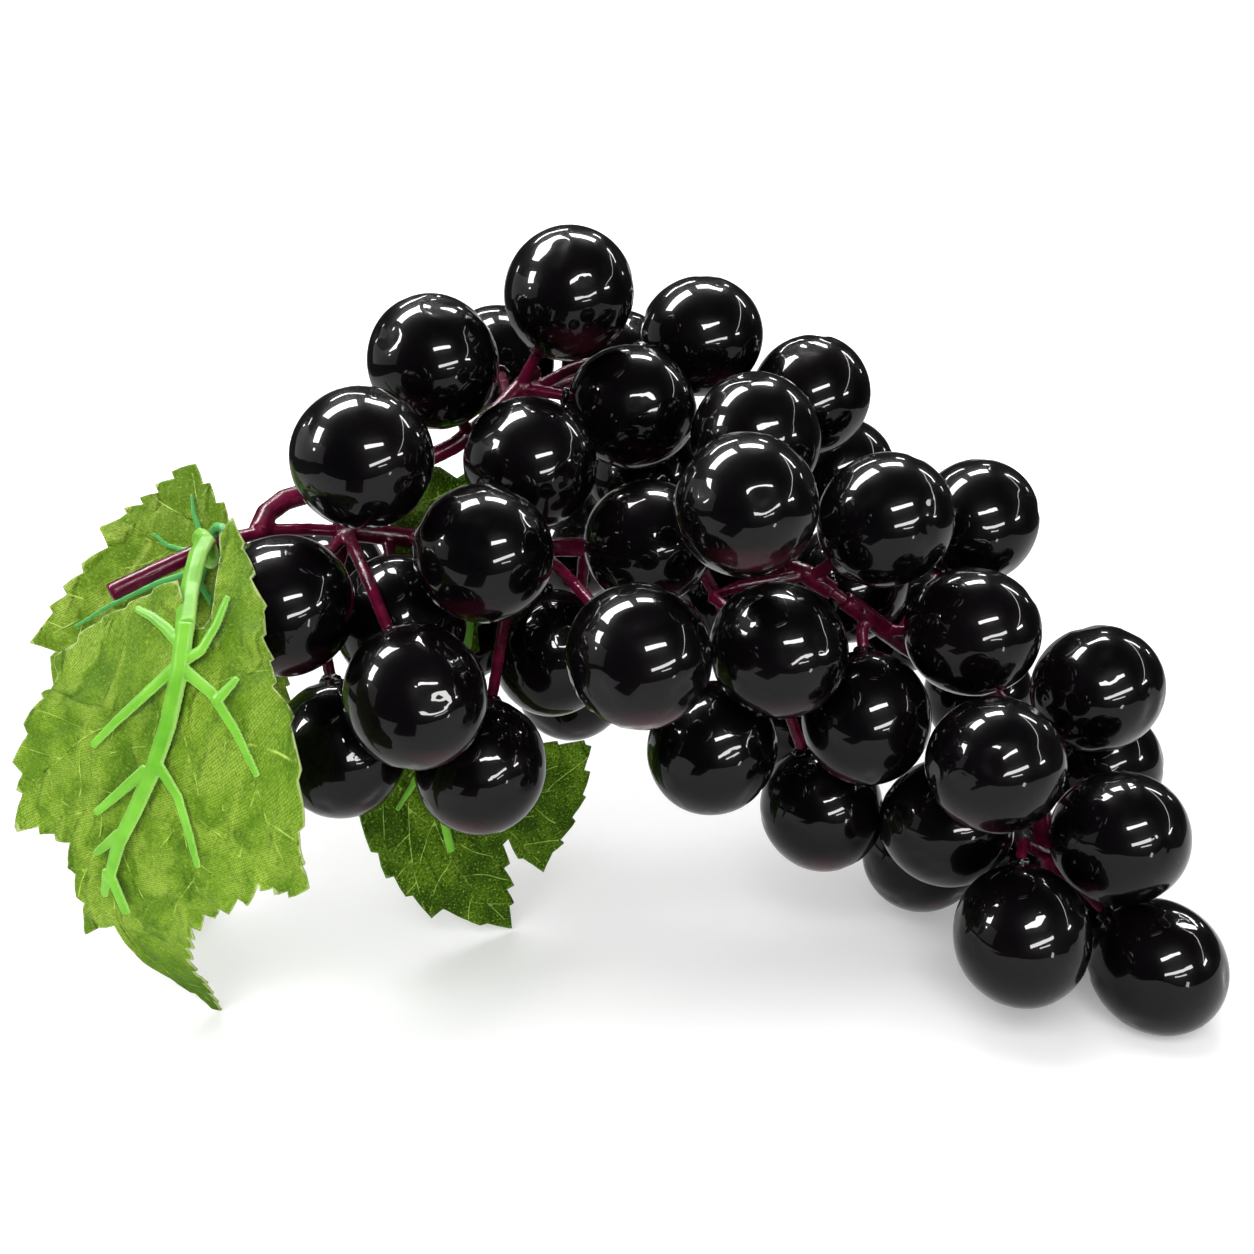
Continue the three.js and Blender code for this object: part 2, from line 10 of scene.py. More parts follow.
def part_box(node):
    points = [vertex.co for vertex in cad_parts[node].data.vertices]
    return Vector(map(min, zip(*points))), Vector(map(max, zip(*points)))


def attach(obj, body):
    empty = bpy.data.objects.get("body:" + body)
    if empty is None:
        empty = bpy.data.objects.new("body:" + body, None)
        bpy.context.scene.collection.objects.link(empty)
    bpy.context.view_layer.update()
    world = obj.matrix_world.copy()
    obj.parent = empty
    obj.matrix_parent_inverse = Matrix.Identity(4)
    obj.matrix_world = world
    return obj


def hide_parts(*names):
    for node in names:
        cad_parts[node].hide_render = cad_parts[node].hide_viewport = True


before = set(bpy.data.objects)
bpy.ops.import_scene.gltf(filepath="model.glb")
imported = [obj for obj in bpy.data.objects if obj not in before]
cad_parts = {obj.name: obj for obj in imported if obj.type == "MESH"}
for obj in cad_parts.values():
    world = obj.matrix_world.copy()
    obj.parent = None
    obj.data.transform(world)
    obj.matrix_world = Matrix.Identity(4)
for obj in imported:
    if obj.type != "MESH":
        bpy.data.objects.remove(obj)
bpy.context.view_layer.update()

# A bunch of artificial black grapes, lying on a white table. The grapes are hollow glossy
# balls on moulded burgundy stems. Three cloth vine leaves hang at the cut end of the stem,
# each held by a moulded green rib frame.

MM = 0.001
UP = Vector((0, 0, 1))
random.seed(7)

# The drawing's own zero point: where its numbers, in millimetres, are measured from.
stem_low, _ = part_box("main_stem")
DRAWING_ZERO = stem_low - Vector((-89.904, -36.389, 23.347)) * MM


def at(x, y, z):
    return DRAWING_ZERO + Vector((x, y, z)) * MM


# ------------------------------------------------------------------ bench tools

def pick(piece):
    bpy.ops.object.select_all(action="DESELECT")
    piece.select_set(True)
    bpy.context.view_layer.objects.active = piece


def work_on(piece):
    pick(piece)
    bpy.ops.object.mode_set(mode="EDIT")


def put_down():
    bpy.ops.object.mode_set(mode="OBJECT")


def apply_modifier(piece, kind, **settings):
    pick(piece)
    modifier = piece.modifiers.new(kind.title(), kind)
    for name, value in settings.items():
        setattr(modifier, name, value)
    bpy.ops.object.modifier_apply(modifier=modifier.name)


def new_piece(name, mesh):
    piece = bpy.data.objects.new(name, mesh)
    bpy.context.scene.collection.objects.link(piece)
    return piece


def shade_smooth(piece):
    for face in piece.data.polygons:
        face.use_smooth = True


def select_faces(piece, wanted):
    mesh = bmesh.from_edit_mesh(piece.data)
    mesh.select_mode = {"FACE"}
    for face in mesh.faces:
        face.select_set(False)
    for face in mesh.faces:
        if wanted(face.calc_center_median()):
            face.select_set(True)
    bmesh.update_edit_mesh(piece.data)


def cloud_texture(name, size, depth=1):
    texture = bpy.data.textures.new(name, "CLOUDS")
    texture.noise_scale = size
    texture.noise_depth = depth
    return texture


# ------------------------------------------------------------------ materials

def srgb(*levels):
    """A colour given as screen levels from 0 to 255, made linear."""
    linear = []
    for level in levels:
        share = level / 255
        linear.append(share / 12.92 if share <= 0.04045 else ((share + 0.055) / 1.055) ** 2.4)
    return (*linear, 1.0)


class Finish:
    """A material under construction, with short names for the nodes that it needs."""

    def __init__(self, name):
        self.material = bpy.data.materials.new(name)
        self.material.use_nodes = True
        self.tree = self.material.node_tree
        self.tree.nodes.clear()
        self.shader = self.add("ShaderNodeBsdfPrincipled")
        output = self.add("ShaderNodeOutputMaterial")
        self.join(self.shader.outputs["BSDF"], output.inputs["Surface"])

    def add(self, kind, **settings):
        node = self.tree.nodes.new(kind)
        for name, value in settings.items():
            setattr(node, name, value)
        return node

    def join(self, source, target):
        self.tree.links.new(source, target)

    def feed(self, target, value):
        if isinstance(value, bpy.types.NodeSocket):
            self.join(value, target)
        else:
            target.default_value = value

    def plain(self, **values):
        for name, value in values.items():
            self.shader.inputs[name.replace("_", " ")].default_value = value

    def place(self, stretch=(1, 1, 1), turn=(0, 0, 0), uv=None):
        mapping = self.add("ShaderNodeMapping")
        mapping.inputs["Scale"].default_value = stretch
        mapping.inputs["Rotation"].default_value = turn
        if uv:
            source = self.add("ShaderNodeUVMap", uv_map=uv).outputs["UV"]
        else:
            source = self.add("ShaderNodeTexCoord").outputs["Object"]
        self.join(source, mapping.inputs["Vector"])
        return mapping.outputs["Vector"]

    def noise(self, place, scale, detail=2.0, roughness=0.5, twist=0.0):
        node = self.add("ShaderNodeTexNoise")
        self.join(place, node.inputs["Vector"])
        node.inputs["Scale"].default_value = scale
        node.inputs["Detail"].default_value = detail
        node.inputs["Roughness"].default_value = roughness
        node.inputs["Distortion"].default_value = twist
        return node.outputs["Fac"]

    def spots(self, place, scale):
        node = self.add("ShaderNodeTexVoronoi")
        self.join(place, node.inputs["Vector"])
        node.inputs["Scale"].default_value = scale
        return node.outputs["Distance"]

    def bands(self, place, scale, twist=0.0):
        node = self.add("ShaderNodeTexWave", wave_type="BANDS", bands_direction="X")
        self.join(place, node.inputs["Vector"])
        node.inputs["Scale"].default_value = scale
        node.inputs["Distortion"].default_value = twist
        return node.outputs["Fac"]

    def attribute(self, name):
        return self.add("ShaderNodeAttribute", attribute_name=name).outputs["Fac"]

    def ramp(self, value, *stops):
        node = self.add("ShaderNodeValToRGB")
        self.join(value, node.inputs["Fac"])
        marks = node.color_ramp.elements
        while len(marks) < len(stops):
            marks.new(0.5)
        for mark, (position, colour) in zip(marks, stops):
            mark.position = position
            mark.color = colour if hasattr(colour, "__len__") else (colour,) * 3 + (1,)
        return node.outputs["Color"]

    def math(self, operation, a, b=0.0):
        node = self.add("ShaderNodeMath", operation=operation)
        self.feed(node.inputs[0], a)
        self.feed(node.inputs[1], b)
        return node.outputs[0]

    def mix(self, share, a, b):
        node = self.add("ShaderNodeMix", data_type="RGBA")
        self.feed(node.inputs["Factor"], share)
        for name, value in (("A", a), ("B", b)):
            socket = next(s for s in node.inputs if s.name == name and s.type == "RGBA")
            self.feed(socket, value)
        return next(s for s in node.outputs if s.type == "RGBA")

    def bump(self, height, distance, strength=1.0, under=None):
        node = self.add("ShaderNodeBump")
        self.join(height, node.inputs["Height"])
        node.inputs["Distance"].default_value = distance
        node.inputs["Strength"].default_value = strength
        if under:
            self.join(under, node.inputs["Normal"])
        return node.outputs["Normal"]


def grape_skin():
    """Near-black gloss with soft waves, crumpled places and small round gate marks."""
    skin = Finish("grape_skin")
    place = skin.place()
    waves = skin.noise(place, 80, 1.0)
    swell = skin.bump(waves, 0.24 * MM)
    patch = skin.ramp(skin.noise(place, 60, 0.0), (0.62, 0.0), (0.72, 1.0))
    creases = skin.noise(place, 380, 2.0, 0.6, 0.4)
    crumple = skin.bump(skin.math("MULTIPLY", creases, patch), 0.1 * MM, 0.3, swell)
    distance = skin.spots(place, 80)
    ring = skin.ramp(distance, (0.0, 0.4), (0.03, 0.4), (0.045, 1.0), (0.06, 0.0))
    gate = skin.bump(ring, 0.06 * MM, 0.5, crumple)
    skin.join(gate, skin.shader.inputs["Normal"])
    skin.join(gate, skin.shader.inputs["Coat Normal"])
    tint = skin.noise(place, 70, 2.0)
    colour = skin.ramp(tint, (0.3, srgb(2, 2, 3)), (0.75, srgb(8, 5, 7)))
    # Painted light: sides that face down take a burgundy glow, in patches.
    facing = skin.add("ShaderNodeSeparateXYZ")
    skin.join(skin.add("ShaderNodeNewGeometry").outputs["Normal"], facing.inputs["Vector"])
    under = skin.ramp(skin.math("MULTIPLY", facing.outputs["Z"], -1.0), (0.4, 0.0), (0.95, 1.0))
    underside_glow_patches = skin.ramp(skin.noise(place, 45, 1.0), (0.5, 0.0), (0.64, 1.0))
    colour = skin.mix(skin.math("MULTIPLY", under, underside_glow_patches), colour, srgb(66, 20, 32))
    skin.join(colour, skin.shader.inputs["Base Color"])
    haze = skin.ramp(skin.noise(place, 240, 4.0), (0.3, 0.26), (0.8, 0.36))
    skin.join(haze, skin.shader.inputs["Roughness"])
    skin.plain(IOR=1.5, Specular_IOR_Level=0.03)
    skin.plain(Coat_Weight=1.0, Coat_Roughness=0.025, Coat_IOR=1.3)
    return skin.material


def stem_plastic():
    """Burgundy moulded plastic, streaked along its flow, with a soft shine."""
    stem = Finish("stem_plastic")
    place = stem.place()
    streaks = stem.noise(place, 300, 3.0, 0.6)
    colour = stem.ramp(
        streaks,
        (0.3, srgb(62, 4, 27)),
        (0.52, srgb(84, 8, 38)),
        (0.75, srgb(106, 16, 50)),
    )
    stem.join(colour, stem.shader.inputs["Base Color"])
    fine = stem.noise(place, 700, 2.0)
    stem.join(stem.bump(fine, 0.08 * MM, 0.2), stem.shader.inputs["Normal"])
    worn = stem.ramp(stem.noise(place, 500, 2.0), (0.3, 0.18), (0.75, 0.3))
    stem.join(worn, stem.shader.inputs["Roughness"])
    stem.plain(Specular_IOR_Level=0.14)
    stem.plain(Subsurface_Weight=0.1, Subsurface_Radius=(0.5, 0.1, 0.2), Subsurface_Scale=0.001)
    return stem.material


def rib_plastic(name, deep, bright, pale):
    """Soft green plastic that lets a little light in, paler along its sides: moulding flash there,
    made paler still as a painted edge highlight.
    """
    rib = Finish(name)
    place = rib.place()
    body = rib.ramp(
        rib.noise(place, 140, 3.0),
        (0.3, deep),
        (0.7, bright),
    )
    # Painted edge highlight: the rib's sides, marked "edge", turn pale.
    edge = rib.attribute("edge")
    colour = rib.mix(edge, body, pale)
    rib.join(colour, rib.shader.inputs["Base Color"])
    fine = rib.noise(place, 700, 2.0)
    rib.join(rib.bump(fine, 0.08 * MM, 0.3), rib.shader.inputs["Normal"])
    sheen = rib.ramp(rib.noise(place, 500, 2.0), (0.3, 0.3), (0.75, 0.48))
    rib.join(sheen, rib.shader.inputs["Roughness"])
    rib.plain(Specular_IOR_Level=0.12)
    rib.plain(Subsurface_Weight=0.25, Subsurface_Radius=(0.5, 1.0, 0.4), Subsurface_Scale=0.0012)
    return rib.material


def leaf_cloth(name, dark, middle, light, vein, rim, speckle, vein_gaps, contrast):
    """Printed cloth: a fine diagonal weave, cloudy dyed colour, printed veins and a pale cut edge,
    with painted shade in the low places of wrinkles, along creases, beyond a fold and along each
    leaf's shade mark, and painted light on the wrinkles' high places.
    """
    cloth = Finish(name)
    flat = cloth.place(uv="flat")
    clouds = cloth.noise(flat, 9, 4.0, 0.62, 0.3)
    dye_and_painted_light = cloth.ramp(clouds, (0.34, dark), (0.5, middle), (0.68, light))
    crumple = cloth.noise(
        cloth.place(stretch=(1, 0.6, 1), turn=(0, 0, math.radians(35)), uv="flat"), 20, 3.0, 0.5, 0.5
    )
    # Painted shade in the wrinkles' low places and painted light on their high places.
    painted_hollow_shade = cloth.ramp(crumple, (0.38, 0.7), (0.5, 0.0))
    dye_and_painted_light = cloth.mix(painted_hollow_shade, dye_and_painted_light, dark)
    painted_crest_light = cloth.ramp(crumple, (0.51, 0.0), (0.62, 0.6))
    dye_and_painted_light = cloth.mix(painted_crest_light, dye_and_painted_light, light)
    slack = cloth.noise(
        cloth.place(stretch=(1, 0.5, 1), turn=(0, 0, math.radians(35)), uv="flat"), 20, 1.0, 0.5, 0.6
    )
    crease = cloth.ramp(
        cloth.math("ABSOLUTE", cloth.math("SUBTRACT", slack, 0.5)), (0.0, 1.0), (0.13, 0.0)
    )
    # Painted shade along the creases.
    dye_and_painted_light = cloth.mix(cloth.math("MULTIPLY", crease, 0.2), dye_and_painted_light, dark)
    # Painted shade on the part beyond the fold line.
    dye_and_painted_light = cloth.mix(cloth.math("MULTIPLY", cloth.attribute("fold"), 0.22), dye_and_painted_light, dark)
    dye_and_painted_light = cloth.mix(cloth.math("MULTIPLY", cloth.attribute("shade"), 0.95), dye_and_painted_light, dark)
    warp = cloth.bands(cloth.place(turn=(0, 0, math.radians(45)), uv="flat"), 76, 0.6)
    weft = cloth.bands(cloth.place(turn=(0, 0, math.radians(-45)), uv="flat"), 76, 0.6)
    weave = cloth.math("MULTIPLY", warp, cloth.math("ADD", cloth.math("MULTIPLY", weft, 0.8), 0.2))
    shaded = cloth.mix(
        cloth.math("MULTIPLY", cloth.math("SUBTRACT", 1.0, weave), contrast), dye_and_painted_light, dark
    )
    grains = cloth.noise(flat, 190, 2.0, 0.7)
    darker = cloth.ramp(grains, (0.36, speckle), (0.5, 0.0))
    shaded = cloth.mix(darker, shaded, tuple(c * 0.35 for c in dark[:3]) + (1,))
    flecks = cloth.ramp(grains, (0.6, 0.0), (0.7, speckle))
    shaded = cloth.mix(flecks, shaded, vein)
    line = cloth.ramp(cloth.attribute("vein"), (0.62, 0.0), (0.92, 1.0))
    gaps = cloth.ramp(
        cloth.noise(flat, 26, 3.0), (vein_gaps - 0.08, 0.0), (vein_gaps + 0.08, 1.0)
    )
    shaded = cloth.mix(cloth.math("MULTIPLY", line, gaps), shaded, vein)
    cut = cloth.ramp(cloth.attribute("rim"), (0.7, 0.0), (0.95, 0.7))
    shaded = cloth.mix(cut, shaded, rim)
    cloth.join(shaded, cloth.shader.inputs["Base Color"])
    wrinkles = cloth.bump(crumple, 2.0 * MM, 1.0)
    pinched = cloth.bump(crease, -0.6 * MM, 0.7, wrinkles)
    threads = cloth.bump(weave, 0.12 * MM, 0.6, pinched)
    ridge = cloth.bump(cloth.attribute("vein"), 0.25 * MM, 0.5, threads)
    cloth.join(ridge, cloth.shader.inputs["Normal"])
    dull = cloth.ramp(clouds, (0.3, 0.62), (0.7, 0.8))
    cloth.join(dull, cloth.shader.inputs["Roughness"])
    cloth.plain(Specular_IOR_Level=0.04)
    return cloth.material


# ------------------------------------------------------------------ grapes

GRAPE_RADIUS = 12.2 * MM
GRAPE_HALF_LENGTH = 12.8 * MM
COLLAR_RADIUS = 1.95 * MM
COLLAR_TOP = 13.8 * MM  # from the grape's middle
COLLAR_CORNERS = 12  # of the collar's top ring in the CAD
COLLAR_CROWD = 4.5 * MM  # only the collar's corners have many neighbours this near
GRAPE_COUNT = 48


def model_grape():
    """One grape, standing on its blossom end, with a puckered collar and a recess."""
    bpy.ops.object.select_all(action="DESELECT")
    bpy.ops.mesh.primitive_uv_sphere_add(segments=60, ring_count=40, radius=GRAPE_RADIUS)
    grape = bpy.context.object
    work_on(grape)
    bpy.ops.mesh.select_all(action="SELECT")
    bpy.ops.transform.resize(value=(1, 1, GRAPE_HALF_LENGTH / GRAPE_RADIUS))
    crown = GRAPE_HALF_LENGTH - 0.3 * MM
    select_faces(grape, lambda p: p.z > crown and p.xy.length < COLLAR_RADIUS)
    bpy.ops.mesh.inset(thickness=0.15 * MM)
    for lift, widen in ((0.25, 1.12), (0.3, 1.0), (0.3, 0.9), (0.2, 0.8)):
        bpy.ops.mesh.extrude_region_move(
            TRANSFORM_OT_translate={"value": (0, 0, lift * MM)}
        )
        bpy.ops.transform.resize(value=(widen, widen, 1), center_override=(0, 0, COLLAR_TOP))
    bpy.ops.mesh.inset(thickness=0.3 * MM)
    bpy.ops.mesh.extrude_region_move(
        TRANSFORM_OT_translate={"value": (0, 0, -1.6 * MM)}
    )
    bpy.ops.transform.resize(value=(0.8, 0.8, 1), center_override=(0, 0, COLLAR_TOP))
    put_down()
    collar = grape.vertex_groups.new(name="collar")
    near_collar = [
        v.index for v in grape.data.vertices
        if v.co.z > GRAPE_HALF_LENGTH - 0.1 * MM and v.co.xy.length > 0.9 * MM
    ]
    collar.add(near_collar, 1.0, "REPLACE")
    apply_modifier(
        grape, "DISPLACE", texture=cloud_texture("collar_pucker", 0.8 * MM),
        vertex_group="collar", strength=0.8 * MM, mid_level=0.5,
    )
    shade_smooth(grape)
    return grape


def lie_of(node):
    """The middle of a grape and the direction of its neck, from its CAD node."""
    places = {tuple(round(value, 6) for value in v.co) for v in node.data.vertices}
    corners = [Vector(place) for place in sorted(places)]
    core = sum(corners, Vector()) / len(corners)

    def neighbours(corner):
        return sum((corner - other).length < COLLAR_CROWD for other in corners)

    rim = max(corners, key=neighbours)
    corners.sort(key=lambda corner: (corner - core).dot(rim - core))
    collar = sum(corners[-COLLAR_CORNERS:], Vector()) / COLLAR_CORNERS
    neck = (collar - core).normalized()
    return collar - neck * COLLAR_TOP, neck


def build_grapes(skin):
    """All the grapes; gives back their middles, in the drawing's millimetres."""
    pattern = model_grape()
    middles = []
    swell = cloud_texture("grape_swell", 14 * MM)
    dents = cloud_texture("grape_dents", 6 * MM)
    dents.use_color_ramp = True
    marks = dents.color_ramp.elements
    marks[0].position = 0.62
    marks[1].position = 0.8
    for number in range(1, GRAPE_COUNT + 1):
        name = f"grape_{number:02d}"
        middle, neck = lie_of(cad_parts[name])
        middles.append((middle - DRAWING_ZERO) / MM)
        mesh = pattern.data.copy()
        turn = UP.rotation_difference(neck).to_matrix().to_4x4()
        roll = Matrix.Rotation(random.uniform(0, math.tau), 4, "Z")
        mesh.transform(Matrix.Translation(middle) @ turn @ roll)
        grape = new_piece(f"black_{name}", mesh)
        apply_modifier(grape, "DISPLACE", texture=swell, strength=0.3 * MM, mid_level=0.5)
        apply_modifier(grape, "DISPLACE", texture=dents, strength=-0.35 * MM, mid_level=0.0)
        mesh.materials.append(skin)
        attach(grape, "root")
        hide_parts(name)
    bpy.data.objects.remove(pattern)
    return middles


# ------------------------------------------------------------------ moulded pieces

def rounded_copy(node_name, name, voxel, smoothing, swell):
    """A copy of a moulded piece, with its facets melted into round, slightly uneven bars."""
    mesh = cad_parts[node_name].data.copy()
    mesh.materials.clear()
    piece = new_piece(name, mesh)
    work_on(piece)
    bpy.ops.mesh.select_all(action="SELECT")
    bpy.ops.mesh.remove_doubles(threshold=0.001 * MM)
    put_down()
    apply_modifier(piece, "REMESH", mode="VOXEL", voxel_size=voxel)
    apply_modifier(piece, "SMOOTH", factor=0.5, iterations=smoothing)
    apply_modifier(piece, "DISPLACE", strength=swell, mid_level=0.0)
    shade_smooth(piece)
    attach(piece, "root")
    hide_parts(node_name)
    return piece


def build_stems(plastic):
    uneven = cloud_texture("stem_uneven", 2.2 * MM, 2)
    for node_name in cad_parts:
        if node_name != "main_stem" and not node_name.startswith("sprig_"):
            continue
        piece = rounded_copy(node_name, f"burgundy_{node_name}", 0.34 * MM, 8, 0.14 * MM)
        apply_modifier(piece, "DISPLACE", texture=uneven, strength=0.1 * MM, mid_level=0.5)
        piece.data.materials.append(plastic)


# ------------------------------------------------------------------ leaves

# Each leaf, in millimetres: "spine" is the curve down its middle, "across" its width's
# direction, "cup" how far its sides bend back, "veins" its printed veins, "fold" the line
# that it is folded along, with painted shade beyond it, and "shade" where painted shade starts and
# ends.
LEAVES = {
    "leaf_front": {
        "spine": [
            (-69, -40, 96), (-73, -49, 80), (-75, -55, 66), (-80, -54, 52),
            (-86, -49, 36), (-87, -41, 19), (-78, -29, 0),
        ],
        "across": (1, -0.35, 0),
        "cup": -0.25,
        # corners, clockwise: across, up, then teeth to the next corner, their depth, and
        # which way they point: 1 to the next corner, -1 back to this one
        "edge": [
            (3, 21.5, 3, 0.9, 1), (13.4, 6.6, 3, 0.9, 1), (18, -7.2, 2, 0.9, 1),
            (25, -16, 3, 0.9, 1), (30.3, -30.8, 3, 1.2, 1), (22.7, -32.7, 4, 2.3, 1),
            (12.2, -53, 2, 1.6, 1), (10.5, -62, 3, 1.6, 1), (6.8, -78, 3, 1.6, 1),
            (-0.6, -91.6, 2, 0.6, -1),
            (-1.1, -77.7, 1, 0.4, -1), (-3.8, -61, 0, 0, 1), (-11.4, -65.2, 0, 0, 1),
            (-9, -57.4, 2, 1.9, -1), (-11.5, -45.2, 2, 1.2, 1), (-18.2, -45.8, 0, 0, 1),
            (-22.4, -48.2, 1, 0.8, -1), (-22.6, -42.2, 1, 1.2, -1), (-23.6, -39, 1, 2.3, -1),
            (-25, -29.8, 1, 1.6, -1), (-24.6, -21.7, 2, 1.2, -1), (-23.6, -6.8, 0, 0, 1),
            (-24.8, -5, 5, 0.8, -1), (-3.8, 9.4, 0, 0, 1), (-1.4, 6, 0, 0, 1),
            (0.6, 3, 0, 0, 1), (2.4, 1.8, 0, 0, 1), (3.8, 2.2, 0, 0, 1),
            (4.5, 4, 0, 0, 1), (4.2, 7, 0, 0, 1), (3, 13, 0, 0, 1), (1.6, 18.3, 0, 0, 1),
        ],
        "veins": [
            [(2, -8), (0.5, -23), (-1.5, -36), (-2.5, -46), (-3, -60), (1, -74), (0, -88)],
            [(1, -6), (-8, -15.5), (-16, -26), (-22, -43)],
            [(2, -6), (10, -10), (18, -18), (26, -28)],
            [(0, -22), (-8, -36), (-16, -44)],
            [(1, -22), (10, -34), (14, -44)],
            [(-2, -36), (-8, -48), (-11, -60)],
        ],
        "fold": [(2, 20), (6.5, 8), (8, -2), (11, -11), (18, -20), (24, -31)],
        "shade": (-60, -78),
    },
    "leaf_back": {
        "spine": [
            (-75, -8, 108), (-77, -15, 88), (-84, -14, 70), (-91, -8, 48),
            (-95, 4, 24), (-94, 18, 0),
        ],
        "across": (1, 0, 0),
        "cup": -0.2,
        "edge": [
            (-5.2, 14.8, 3, 1.3, -1), (3, 4.5, 2, 1.2, 1), (11, -4, 2, 1.2, 1),
            (17, -13, 2, 1.2, 1), (21, -24, 3, 1.3, 1), (24, -37, 2, 1.3, -1),
            (18, -48, 1, 1.2, 1), (11, -55, 2, 1.2, 1), (7, -68, 3, 1.2, 1),
            (4, -84, 3, 1.2, 1), (0, -98.5, 3, 1.2, -1), (-4, -84, 3, 1.2, -1),
            (-8, -70, 3, 1.2, -1), (-12, -56, 1, 1.2, -1), (-17, -50, 1, 1.2, 1),
            (-20, -42, 1, 1.2, 1), (-22, -30, 0, 0, 1), (-27, -30, 0, 0, 1),
            (-23.8, -22.5, 2, 1.5, -1), (-20.1, -13.8, 1, 1.6, -1), (-17.5, -7.6, 0, 0, 1),
            (-20.2, -4, 1, 0.6, -1), (-16, 3.6, 4, 1.6, -1),
        ],
        "veins": [
            [(0, 0), (0, -14), (-1, -34), (-1, -60), (0, -96)],
            [(0, 0), (-3, 6), (-4.6, 13)],
            [(-1, -1), (-8, -2), (-18, -4)],
            [(0, -4), (-12, -15), (-25, -29)],
            [(0, -6), (10, -16), (22, -34)],
            [(-1, -26), (-8, -36), (-14, -50)],
            [(-1, -26), (7, -38), (12, -52)],
        ],
        "fold": None,
        "shade": (-4, 13),
    },
    "leaf_under": {
        "spine": [
            (-34, 14, 108), (-38, 8, 95), (-41, 2, 80), (-41, -5, 60),
            (-38, -8, 42), (-32, -4, 20), (-24, 4, 0),
        ],
        "across": (1, 0.45, 0),
        "cup": -0.1,
        "edge": [
            (12, 31, 1, 1.2, 1), (17, 24, 2, 1.2, 1), (18, 10, 3, 1.2, 1),
            (15, -6, 3, 1.2, 1), (13, -22, 3, 1.2, 1), (11, -40, 2, 1.2, 1),
            (11, -52, 2, 1.2, 1), (20, -60, 2, 1.2, 1), (31, -66.5, 2, 1.6, -1),
            (26.6, -79.3, 1, 1.6, -1), (22.5, -84, 1, 1.6, -1), (18, -87.6, 1, 1.4, -1),
            (15.4, -89.4, 0, 0, 1), (11.5, -92.8, 0, 0, 1), (9.4, -86.3, 1, 1, -1),
            (8.7, -79.4, 0, 0, 1), (7.2, -80, 1, 1.6, 1), (5.1, -85.5, 1, 1.6, 1),
            (3.3, -90.8, 1, 1.4, 1), (1.8, -95.3, 0, 0, 1), (-0.4, -101.6, 0, 0, 1),
            (-4, -96.4, 1, 1.2, -1), (-9.8, -86.3, 0, 0, 1), (-12.8, -86.9, 0, 0, 1),
            (-13.7, -79.9, 1, 1.5, -1), (-15.2, -74.3, 1, 1.5, -1), (-16.2, -68.1, 1, 1.4, -1),
            (-17, -60, 3, 1.2, -1), (-14, -45, 3, 1.2, -1), (-10, -30, 3, 1.2, -1),
            (-7, -14, 2, 1.2, -1), (-6, -3, 1, 1, -1), (-4, 3, 0, 0, 1), (0, 4, 0, 0, 1),
            (4, 3, 0, 0, 1), (8, 8, 0, 0, 1), (10, 18, 0, 0, 1),
        ],
        "veins": [
            [(1, -1), (3, -20), (1, -40), (-3, -58), (-4, -76), (-0.6, -98)],
            [(-3, -20), (5, -33), (9, -50)],
            [(0, -3), (9, 5), (14, 24)],
            [(-5, -40), (-10, -54), (-14, -66)],
            [(-5, -48), (6, -62), (16, -72), (26, -76)],
            [(3, -60), (9, -74), (12, -90)],
            [(-6, -58), (-10, -70), (-13, -84)],
        ],
        "fold": None,
        "shade": (0, 30),
    },
}

CLOTH_THICKNESS = 0.4 * MM
EDGE_STEP = 0.9
FIELD_STEP = 1.25
VEIN_STEP = 1.0
VEIN_HALF_WIDTH = 0.42
FLAT_UNIT = 100  # millimetres of cloth to one unit of the flat map
LEAF_TO_GRAPE = 13.4  # from the cloth to the middle of a grape


class Bend:
    """The curve down the middle of a leaf, which places flat points of the leaf in space."""

    def __init__(self, leaf):
        points = [Vector(p) for p in leaf["spine"]]
        ends = [2 * points[0] - points[1], *points, 2 * points[-1] - points[-2]]
        self.trail = []
        for a, b, c, d in zip(ends, ends[1:], ends[2:], ends[3:]):
            for step in range(100):
                t = step / 100
                self.trail.append(0.5 * (
                    2 * b + (c - a) * t + (2 * a - 5 * b + 4 * c - d) * t ** 2
                    + (3 * b - a - 3 * c + d) * t ** 3
                ))
        self.trail.append(points[-1])
        self.reach = [0.0]
        for a, b in zip(self.trail, self.trail[1:]):
            self.reach.append(self.reach[-1] + (b - a).length)
        self.length = self.reach[-1]
        self.across = Vector(leaf["across"]).normalized()
        self.cup = leaf["cup"] / 100
        tries = [self.length * 0.01 * i for i in range(41)]
        self.start = min(tries, key=lambda s: (self.point(s) - points[1]).length)

    def point(self, along):
        low, high = 0, len(self.reach) - 1
        while high - low > 1:
            middle = (low + high) // 2
            if self.reach[middle] <= along:
                low = middle
            else:
                high = middle
        share = (along - self.reach[low]) / (self.reach[high] - self.reach[low])
        return self.trail[low].lerp(self.trail[high], share)

    def place(self, across, up, lift=0.0):
        along = self.start - up
        on_curve = min(max(along, 0.0), self.length)
        nearby = min(max(on_curve, 0.5), self.length - 0.5)
        tangent = (self.point(nearby + 0.5) - self.point(nearby - 0.5)).normalized()
        wide = (self.across - tangent * self.across.dot(tangent)).normalized()
        face = tangent.cross(wide)
        spot = self.point(on_curve) + tangent * (along - on_curve) + wide * across
        return spot + face * (lift + self.cup * across * across), face


